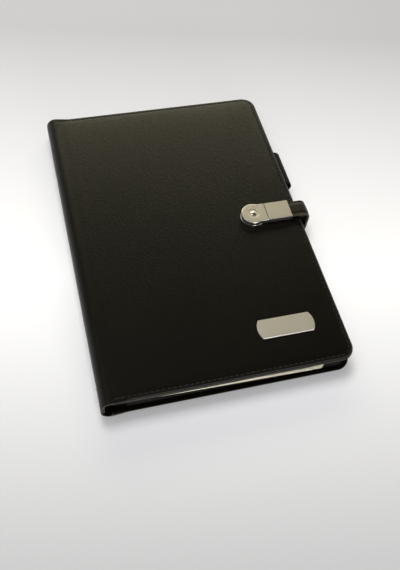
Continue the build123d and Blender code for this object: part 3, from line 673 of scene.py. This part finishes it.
def ring_solid(rings):
    """Closed solid of rings of points round one axis, with a point in the middle of the first
    and last ring."""
    count = rings.shape[1]
    index = np.arange(rings.shape[0] * count).reshape(rings.shape[:2])
    index = np.concatenate((index, index[:, :1]), axis=1)
    points = np.concatenate((rings.reshape(-1, 3), rings[:1].mean(axis=1), rings[-1:].mean(axis=1)))
    first, last = rings.shape[0] * count, rings.shape[0] * count + 1
    cap = lambda row, pole: np.stack((row[1:], row[:-1], np.full(count, pole)), axis=1)
    return points, (quads(index), cap(index[0], first), cap(index[-1], last)[:, ::-1])


def dome(place, direction, radius, height):
    """A rivet head: rings of a dome, each at its own share of a quarter turn, over a short
    straight rim that sinks into what it holds. The direction is the axis it stands on."""
    axis = np.array(direction, float)
    side = np.cross(axis, (0, 1, 0))
    other = np.cross(axis, side)
    turned = np.linspace(0, 2 * np.pi, 33)[:-1]
    spokes = np.cos(turned)[:, None] * side + np.sin(turned)[:, None] * other
    share = np.concatenate(((0, 0), np.linspace(0, 0.9, 8))) * np.pi / 2
    out = radius * np.cos(share)
    up = height * np.sin(share) - np.array((0.6, 0.3) + (0,) * 8)
    return np.array(place) + out[:, None, None] * spokes + up[:, None, None] * axis


rivet_reach, head_radius, head_height, head_lift = 106.7, 2.3, 0.7, 0.02
for name, y in (("top", rivet_reach), ("bottom", -rivet_reach)):
    place = (-fore_x - head_lift, y, cover_height / 2)
    head = make_piece(f"spine_rivet_head_{name}",
                      *ring_solid(dome(place, (-1, 0, 0), head_radius, head_height)),
                      (bright_nickel,))
    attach(head, "spine")


# Sheets: cream writing paper on the rings, a little askew, so their bottom edges show under the
# front cover towards the fore-edge. The panel presses them flat, and past it they spread.
sheet_count = 18
sheet_width, sheet_length, sheet_thickness = 141.0, 236.4, 0.1
sheet_start = -75.2
ring_places = (-73.0, -54.0, -35.0, 35.0, 54.0, 73.0)
hole_radius, hole_from_edge = 2.8, 4.6
sheet_shift = 1.6            # along the spine, from the middle of the covers
hole_play = 0.1              # how far the holes have slipped from the rings' middles
pressed_low, pressed_high = 3.55, 5.0    # the lowest and the highest sheet under the panel
held_low, held_high = 8.15, 10.25        # on the rings
loose_high = 10.15                       # past the panel
rise_start, rise_end = 5.0, 17.5         # across the sheet, from the edge on the rings
spread_start, spread_end = 131.3, 135.0
mean_skew = 1.08                         # degrees


def writing_paper():
    """Uncoated cream paper, calendered: warm off-white, quite matt, with a faint fibre cloud."""
    material, tree, place = new_material("cream_writing_paper")
    fibres = noise(tree, place, 2.5, 6.0)
    return surfaced(material, blend_colours(tree, fibres, "#faf3dd", "#fffaee"), 0.82,
                    relief(tree, fibres, 0.2, 0.03), {"Specular IOR Level": 0.3})


def sheet_stack():
    """All the sheets. A sheet's height falls by an S curve from the rings to the back cover and
    rises by another where it leaves the panel, by a share that grows from sheet to sheet. Each is
    turned about the rings by its own small angle. A hole is a block of cells left out of the
    grid, with the points round it moved out to the circle. Grid lines lie close where it bends."""
    steps = hole_radius * np.array((-1, -0.268, 0.268, 1))
    hole_middles = np.array(ring_places) - sheet_shift
    hole_row = 2
    u = np.concatenate(((0, 0.9), hole_from_edge + steps, np.linspace(8.5, 20, 10),
                        np.linspace(26, 128, 7), np.linspace(130, sheet_width, 12)))
    v = np.sort(np.concatenate((np.linspace(-0.5, 0.5, 5) * sheet_length,
                                (hole_middles[:, None] + steps).ravel())))
    plan_s, plan_t = np.meshgrid(u, v, indexing="ij")
    rows, columns = plan_s.shape
    kept = np.ones((rows - 1, columns - 1), bool)
    block_rows, block_columns = border_of(4, 4)
    hole_loops = []
    for middle in hole_middles:
        first = np.searchsorted(v, middle - hole_radius - 0.01)
        kept[hole_row:hole_row + 3, first:first + 3] = False
        loop = (hole_row + block_rows, first + block_columns)
        out_s, out_t = plan_s[loop] - hole_from_edge, plan_t[loop] - middle
        stretch = hole_radius / np.hypot(out_s, out_t)
        plan_s[loop] = hole_from_edge + out_s * stretch
        plan_t[loop] = middle + out_t * stretch
        numbers = loop[0] * columns + loop[1]
        hole_loops.append(np.append(numbers, numbers[0]))
    chance = np.random.default_rng(7)
    groups, points, start = [], [], 0
    for sheet in range(sheet_count):
        share = sheet / (sheet_count - 1)
        level = pressed_low + (pressed_high - pressed_low) * share + chance.uniform(-0.03, 0.03)
        held = held_low + (held_high - held_low) * share
        loose = pressed_low + (loose_high - pressed_low) * share ** 1.15
        t = plan_t * (1 + chance.uniform(-0.0015, 0.0015))
        s = plan_s * (1 + chance.uniform(-0.0055, 0.002))
        skew = np.radians(mean_skew + chance.uniform(-0.3, 0.2))
        z = held + (level - held) * smooth_step(s, rise_start, rise_end)
        z = z + (loose - level) * smooth_step(s, spread_start, spread_end)
        x = sheet_start + s * np.cos(skew) + t * np.sin(skew)
        y = sheet_shift + hole_play + t * np.cos(skew) - s * np.sin(skew)
        high = np.stack((x, y, z + sheet_thickness / 2), axis=-1)
        low = np.stack((x, y, z - sheet_thickness / 2), axis=-1)
        made, (top, rim, bottom) = closed_shell(high, low)
        walls = [quads(np.vstack((loop, loop + s.size))) for loop in hole_loops]
        points.append(made)
        groups += [face + start for face in (top[kept.ravel()], rim, bottom[kept.ravel()], *walls)]
        start += len(made)
    used, faces = np.unique(np.concatenate(groups), return_inverse=True)
    return np.concatenate(points)[used], [faces.reshape(-1, 4)]


sheets = make_piece("sheets", *sheet_stack(), (writing_paper(),))
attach(sheets, "pages")
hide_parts("page_block")


# Panel in the front cover: thin board covered in fine-grained leather, sewn round its face, with
# a well for the power bank and three sewn pockets for cards.
panel_leather = leather("fine_black_calf", "#0b0b09", "#141311", "#34302a", 0.7, gloss=0.04)
node_finish(panel_leather, "pocket_panel")
panel_low, panel_high = node_box("pocket_panel")
panel_row_inset, panel_row_round = 2.4, 3.0
panel_thread = 0.5
panel_middle = (panel_low + panel_high) / 2
panel_half = (panel_high - panel_low) / 2 - panel_row_inset - panel_row_round
corners = np.array(((1, 1), (-1, 1), (-1, -1), (1, -1)))
turns = np.linspace(0, np.pi / 2, 8) + np.arange(4)[:, None] * np.pi / 2
panel_row_x = panel_middle[0] + corners[:, :1] * panel_half[0] + panel_row_round * np.cos(turns)
panel_row_y = panel_middle[1] + corners[:, 1:] * panel_half[1] + panel_row_round * np.sin(turns)
panel_row = np.stack((panel_row_x.ravel(), panel_row_y.ravel(), np.full(turns.size, panel_low[2])),
                     axis=1)
panel_row = np.concatenate((panel_row, panel_row[:1]))
panel_stitches = stitch_row("panel_stitches", cover_thread, panel_row, (0, 0, -1), stitch_pitch,
                            panel_thread)
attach(panel_stitches, "front_cover")


def soft_slab(low, high, rounding):
    """A flat piece with rounded edges: its rows in plan are lines of the box, and near an edge
    both faces close in by the quarter circle of the rounding."""
    edge = rounding * np.array((0, 0.12, 0.35, 0.65, 1))
    side = lambda a, b: np.concatenate((a + edge, np.linspace(a + rounding, b - rounding, 14)[1:-1],
                                        (b - edge)[::-1]))
    x, y = np.meshgrid(side(low[0], high[0]), side(low[1], high[1]), indexing="ij")
    inset = np.minimum(np.minimum(x - low[0], high[0] - x), np.minimum(y - low[1], high[1] - y))
    fall = rounding * (1 - np.sqrt(1 - np.clip(1 - inset / rounding, 0, 1) ** 2))
    top = np.stack((x, y, high[2] - fall), axis=-1)
    bottom = np.stack((x, y, low[2] + fall), axis=-1)
    return closed_shell(top, bottom)


pocket_count, pocket_layer, pocket_step = 3, 0.8, 14.0
pocket_rounding, pocket_thread, pocket_pitch = 0.35, 0.45, 2.6
lip_inset, lip_margin = 2.2, 2.0         # of the row of stitches, from the lip and the sides
lip_points = 60
pockets_low, pockets_high = node_box("card_pockets")
for layer in range(pocket_count):
    top = pockets_high[2] - layer * pocket_layer
    low = (pockets_low[0], pockets_low[1], top - pocket_layer)
    high = (pockets_high[0], pockets_high[1] - layer * pocket_step, top)
    pocket_points, pocket_faces = soft_slab(low, high, pocket_rounding)
    pocket = make_piece(f"card_pocket_{layer + 1}", pocket_points, pocket_faces, (panel_leather,))
    mark_wear(pocket, np.exp(-(high[1] - pocket_points[:, 1]) / 0.8))
    lip_x = np.linspace(low[0] + lip_margin, high[0] - lip_margin, lip_points)
    lip_row = np.stack(np.broadcast_arrays(lip_x, high[1] - lip_inset, low[2]), axis=1)
    lip = stitch_row(f"card_pocket_{layer + 1}_stitches", cover_thread, lip_row, (0, 0, -1),
                     pocket_pitch, pocket_thread)
    for sewn in (pocket, lip):
        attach(sewn, "front_cover")
    if layer == 0:
        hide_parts("card_pockets")


# Power bank: a black ABS case in two halves round two foil cells and a circuit board, with a
# steel USB-A and USB-C socket, a polished button and four frosted charge lights.
def moulded(name, colour, roughness, grain, depth):
    """Injection-moulded ABS: one colour right through, with the spark-eroded grain of its mould,
    or nearly none where the mould was polished. The grain is in millimetres."""
    material, tree, place = new_material(name)
    texture = noise(tree, place, grain, 2.0)
    return surfaced(material, colour,
                    remap(tree, texture, 0, 1, roughness * 0.85, roughness * 1.15),
                    relief(tree, texture, 0.4, depth))


node_finish(moulded("black_textured_abs", "#1c1c1e", 0.55, 0.6, 0.05), "bank_tray", "bank_lid")
node_finish(moulded("polished_black_abs", "#222226", 0.18, 3.0, 0.005), "power_button")
node_finish(moulded("frosted_light_guide", "#dfe6ea", 0.35, 0.8, 0.02), "charge_lights")
node_finish(moulded("green_circuit_lacquer", "#1d5a38", 0.3, 1.5, 0.02), "circuit_board")
node_finish(plated("laminated_cell_foil", "#c6c6c8", 0.38, 0.8, "Y"), "battery_cells")
node_finish(plated("drawn_socket_steel", "#c9c8c4", 0.22, 0.25, "Y"), "usb_a_socket",
            "usb_c_socket")


# Name plate: brushed nickel, its ends bowed, with a polished bevel all round. Two pins hold it
# through the leather. It is bare.
plate_face = plated("brushed_plate_nickel", "#e7e2dc", 0.55, 0.35, "X", sides=0.3)
node_finish(plate_face, "name_plate")


# Pen loop: black ribbed elastic, turned into a ring outside the fore-edge. Its two ends lie on
# each other as a tongue that is sewn to the inside of the back cover.
loop_low, loop_high = node_box("pen_loop")
loop_radius = (loop_high[2] - loop_low[2]) / 2
loop_x, loop_z = loop_high[0] - loop_radius, loop_low[2] + loop_radius
band, band_rounding, tongue_rounding = 1.0, 0.35, 0.3
slack = 0.12                 # how far the empty loop's sides sag in
loop_middle, loop_half = (loop_low[1] + loop_high[1]) / 2, (loop_high[1] - loop_low[1]) / 2


def ribbed_elastic():
    """Braided elastic: rubber cords covered with black polyester, so ribs run along the band
    with a fine weave across them. The ribs are 1 mm apart, about as in the real one."""
    material, tree, place = new_material("black_ribbed_elastic")
    ribs = add_node(tree, "TexWave", {"Vector": place, "Scale": waves_per(1.0)},
                    bands_direction="Y").outputs["Fac"]
    weave = noise(tree, place, 0.5, 2.0)
    return surfaced(material, blend_colours(tree, weave, "#060606", "#111110"), 0.75,
                    relief(tree, calculate(tree, "ADD", ribs, weave), 0.5, 0.08),
                    {"Sheen Weight": 0.02, "Specular IOR Level": 0.15})


def section_loop(half, thickness, rounding):
    """Cross-section of a band, once round: y across it and n through it, from -thickness to 0,
    its corners quarter circles of the rounding."""
    turns = np.radians(np.linspace(0, 90, 5))
    y, n = [], []
    for sign, inner, start in ((1, False, 90), (-1, False, 180), (-1, True, 270), (1, True, 360)):
        angle = np.radians(start) - np.pi / 2 + turns
        y.append(sign * (half - rounding) + rounding * np.cos(angle))
        n.append((-thickness + rounding if inner else -rounding) + rounding * np.sin(angle))
    return np.concatenate(y), np.concatenate(n)


def band_ring():
    """The ring: the band's section carried once round the loop's centre. Its radius is less by
    the slack in four places, and by a cosine wave between them."""
    section_y, section_n = section_loop(loop_half, band, band_rounding)
    angle = np.linspace(0, 2 * np.pi, 73)[:-1]
    turned, y = np.meshgrid(angle, section_y, indexing="ij")
    n = np.broadcast_to(section_n, turned.shape)
    radius = loop_radius + n - slack * (1 - np.cos(4 * turned)) / 2
    x = loop_x + radius * np.sin(turned)
    z = loop_z - radius * np.cos(turned)
    points = np.stack((x, loop_middle + y, z), axis=-1)
    index = np.arange(x.size).reshape(x.shape)
    index = np.concatenate((index, index[:1]), axis=0)
    index = np.concatenate((index, index[:, :1]), axis=1)
    return points.reshape(-1, 3), quads(index)


ring_points, ring_faces = band_ring()
tongue_low = (loop_low[0], loop_low[1], loop_low[2])
tongue_high = (loop_x, loop_high[1], loop_low[2] + band)
tongue_points, tongue_faces = soft_slab(tongue_low, tongue_high, tongue_rounding)
pen_loop = make_piece("pen_loop_elastic", np.concatenate((ring_points, tongue_points)),
                      [ring_faces] + [group + len(ring_points) for group in tongue_faces],
                      (ribbed_elastic(),))
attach(pen_loop, "back_cover")
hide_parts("pen_loop")


# Strap: two layers of cowhide sewn along both edges, with a raised middle. It starts in the back
# cover's recess, rises past the fore-edge and turns into the metal cap.
strap_half, strap_thickness, strap_bend = 6.5, 1.8, 5.5
strap_start, strap_bend_x, strap_upper_z = 66.25, 84.9, 16.6
strap_flat = strap_bend_x - strap_start
strap_quarter = strap_bend * np.pi / 2
strap_rise = strap_upper_z - strap_bend
strap_middle = strap_flat + strap_quarter + strap_rise / 2
strap_upper_run = 12.2
strap_end = strap_flat + 2 * strap_quarter + strap_rise + strap_upper_run
strap_row = 4.95             # its two rows of stitches, from the middle
strap_thread, strap_pitch = 0.45, 2.4
run_stations, strap_row_points = 64, 120


def wrap_strap(s, y, n):
    """The straight strap bent to shape: s runs along it, n is the height over its outer face. It
    lies flat, turns up a quarter circle, rises, turns back another, and lies flat again."""
    lower = np.clip((s - strap_flat) / strap_bend, 0, np.pi / 2)
    lift = np.clip(s - strap_flat - strap_quarter, 0, strap_rise)
    upper = np.clip((s - strap_flat - strap_quarter - strap_rise) / strap_bend, 0, np.pi / 2)
    back = np.clip(s - strap_flat - 2 * strap_quarter - strap_rise, 0, None)
    turned = lower + upper
    x = strap_start + np.minimum(s, strap_flat) - back + (strap_bend + n) * np.sin(turned)
    z = strap_bend + lift - (strap_bend + n) * np.cos(turned)
    return np.stack(np.broadcast_arrays(x, y, z), axis=-1)


def strap_face(y):
    """Height of the strap's outer face: rounded at its edges, pulled down by the stitches, and
    raised between them."""
    inset = strap_half - np.abs(y)
    roll = 0.45 * (np.sqrt(1 - np.clip(1 - inset / 0.6, 0, 1) ** 2) - 1)
    groove = -0.24 * np.exp(-((inset - (strap_half - strap_row)) / 0.4) ** 2)
    crown = 0.22 * smooth_step(inset, 1.6, 4.2) - 0.1
    return roll + groove + crown


strap_leather = leather("waxed_strap_cowhide", "#15130e", "#211e17", "#4d4232", 0.9)
across = strap_half * np.array((0, 0.12, 0.25, 0.4, 0.53, 0.62, 0.68, 0.72, 0.76, 0.8, 0.84, 0.9,
                                0.94, 0.97, 0.99, 1))
section_y = np.concatenate((across[::-1], -across[1:]))
section_n = strap_face(section_y)
under_y = np.array((-1, -0.97, -0.5, 0, 0.5, 0.97, 1)) * strap_half
under_n = -strap_thickness + np.array((0.3, 0, 0, 0, 0, 0, 0.3))
section_y, section_n = np.append(section_y, under_y), np.append(section_n, under_n)
strap_runs = (
    ("strap_riser", ("back_cover", "strap"), (0.0, strap_middle), (1.0, strap_middle - 0.6),
     ((strap_bend_x, 0), (strap_bend_x + strap_bend, strap_bend))),
    ("strap_clasp_end", ("strap", "clasp"), (strap_middle, strap_end),
     (strap_middle + 0.6, strap_end - 4.5),
     ((strap_bend_x + strap_bend, strap_upper_z), (strap_bend_x, strap_upper_z + strap_bend))))
for name, bodies, run_ends, row_ends, hinge in strap_runs:
    along = np.linspace(*run_ends, run_stations)
    s, y = np.meshgrid(along, section_y, indexing="ij")
    points = wrap_strap(s, y, np.broadcast_to(section_n, s.shape))
    index = np.arange(s.size).reshape(s.shape)
    ends = (index[:1, ::-1], index[-1:])
    index = np.concatenate((index, index[:, :1]), axis=1)
    run = make_piece(name, points.reshape(-1, 3), (quads(index), *ends), (strap_leather,),
                     sharp=60.0)
    inset = strap_half - np.abs(np.tile(section_y, len(along)))
    mark_wear(run, np.exp(-inset / 0.5))
    pieces = [run]
    row_s = np.linspace(*row_ends, strap_row_points)
    row_n = strap_face(np.array(strap_row)) + 0.1
    for side, edge in (("low", -1), ("high", 1)):
        row = wrap_strap(row_s, edge * strap_row, row_n)
        outward = wrap_strap(row_s, edge * strap_row, row_n + 1) - row
        pieces.append(stitch_row(f"{name}_stitches_{side}", cover_thread, row, outward,
                                 strap_pitch, strap_thread))
    for piece in pieces:
        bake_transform(piece)
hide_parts("strap_tail", "strap_leather", "strap_lining")
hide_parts("clasp_leather", "clasp_lining")


# Clasp: a cast cap on the strap's end and the memory stick that plugs into it. Both are satin
# nickel with bright bevels. The stick's round end has a shallow turned recess with a rivet.
clasp_nickel = plated("brushed_clasp_nickel", "#c6c1bb", 0.5, 0.35, "X", sides=0.28)
clasp_edge = plated("polished_clasp_bevel", "#e4dfd4", 0.28, 0.3, "X")
node_finish(clasp_nickel, "clasp_cap")
round_x, stick_low, stick_high = 48.3, 19.4, 23.0
stick_round, stick_neck, seam_reach, neck_fillet = 8.65, 7.6, 9.6, 3.0
recess_radius, recess_depth, magnet_well = 3.8, 0.2, 6.05


def stick_outline(angle):
    """Distance from the round end's centre to the stick's edge: the seam at the cap, a straight
    side, a small hollow arc, then the round end itself."""
    turned = np.abs((angle + np.pi) % (2 * np.pi) - np.pi)
    arc_x = np.sqrt((stick_round + neck_fillet) ** 2 - (stick_neck + neck_fillet) ** 2)
    arc_y = stick_neck + neck_fillet
    corner = np.arctan2(stick_neck, seam_reach)
    side_end = np.arctan2(stick_neck, arc_x)
    arc_end = np.arctan2(arc_y, arc_x)
    towards = arc_x * np.cos(turned) + arc_y * np.sin(turned)
    hollow = towards - np.sqrt(np.clip(towards ** 2 - arc_x ** 2 - arc_y ** 2 + neck_fillet ** 2,
                                       0, None))
    with np.errstate(divide="ignore"):
        side = stick_neck / np.sin(turned)
    return np.select([turned <= corner, turned <= side_end, turned <= arc_end],
                     [seam_reach / np.cos(turned), side, hollow], stick_round)


stick_angles = np.unique(np.concatenate((
    np.linspace(-np.pi, np.pi, 97)[:-1],
    [sign * np.arctan2(stick_neck, seam_reach) + nudge for sign in (-1, 1) for nudge in (0, 0.004)])))
edge = stick_outline(stick_angles)
recess_edge = recess_radius + 0.4
# Radius and height of each ring, from the recess's floor over the top and the edge to the well.
steps = ([(0 * edge + recess_radius + out, stick_high - drop) for out, drop in
          ((-1, recess_depth), (-0.25, recess_depth), (-0.1, recess_depth), (0, 0.05), (0.12, 0),
           (0.4, 0))]
         + [(recess_edge + (edge - 0.7 - recess_edge) * share, stick_high) for share in (0.5, 1)]
         + [(edge - inset, stick_high - drop) for inset, drop in
            ((0.5, 0), (0.36, 0.03), (0.16, 0.14), (0.04, 0.3), (0, 0.45))]
         + [(edge - inset, stick_low + rise) for inset, rise in ((0, 0.4), (0.08, 0.12), (0.3, 0))]
         + [(0 * edge + magnet_well, z) for z in (stick_low, stick_low + 0.1, stick_low + 1.34)])
rings = np.array([np.stack((round_x + radius * np.cos(stick_angles),
                            radius * np.sin(stick_angles), 0 * edge + z), axis=1)
                  for radius, z in steps])
stick_points, stick_faces = ring_solid(rings)
is_bevel = np.zeros((len(steps) - 1, len(stick_angles)))
is_bevel[2:4] = 1
is_bevel[8:12] = 1
kinds = np.concatenate((is_bevel.ravel(), np.zeros(2 * len(stick_angles))))
stick = make_piece("memory_stick_body", stick_points, stick_faces, (clasp_nickel, clasp_edge),
                   kinds, sharp=50.0)
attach(stick, "stick")
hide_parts("stick_body")
node_finish(clasp_edge, "stick_rivet")
node_finish(bright_nickel, "snap_base", "stick_magnet")
node_finish(moulded("moulded_chip", "#141416", 0.25, 2.0, 0.01), "stick_chip")
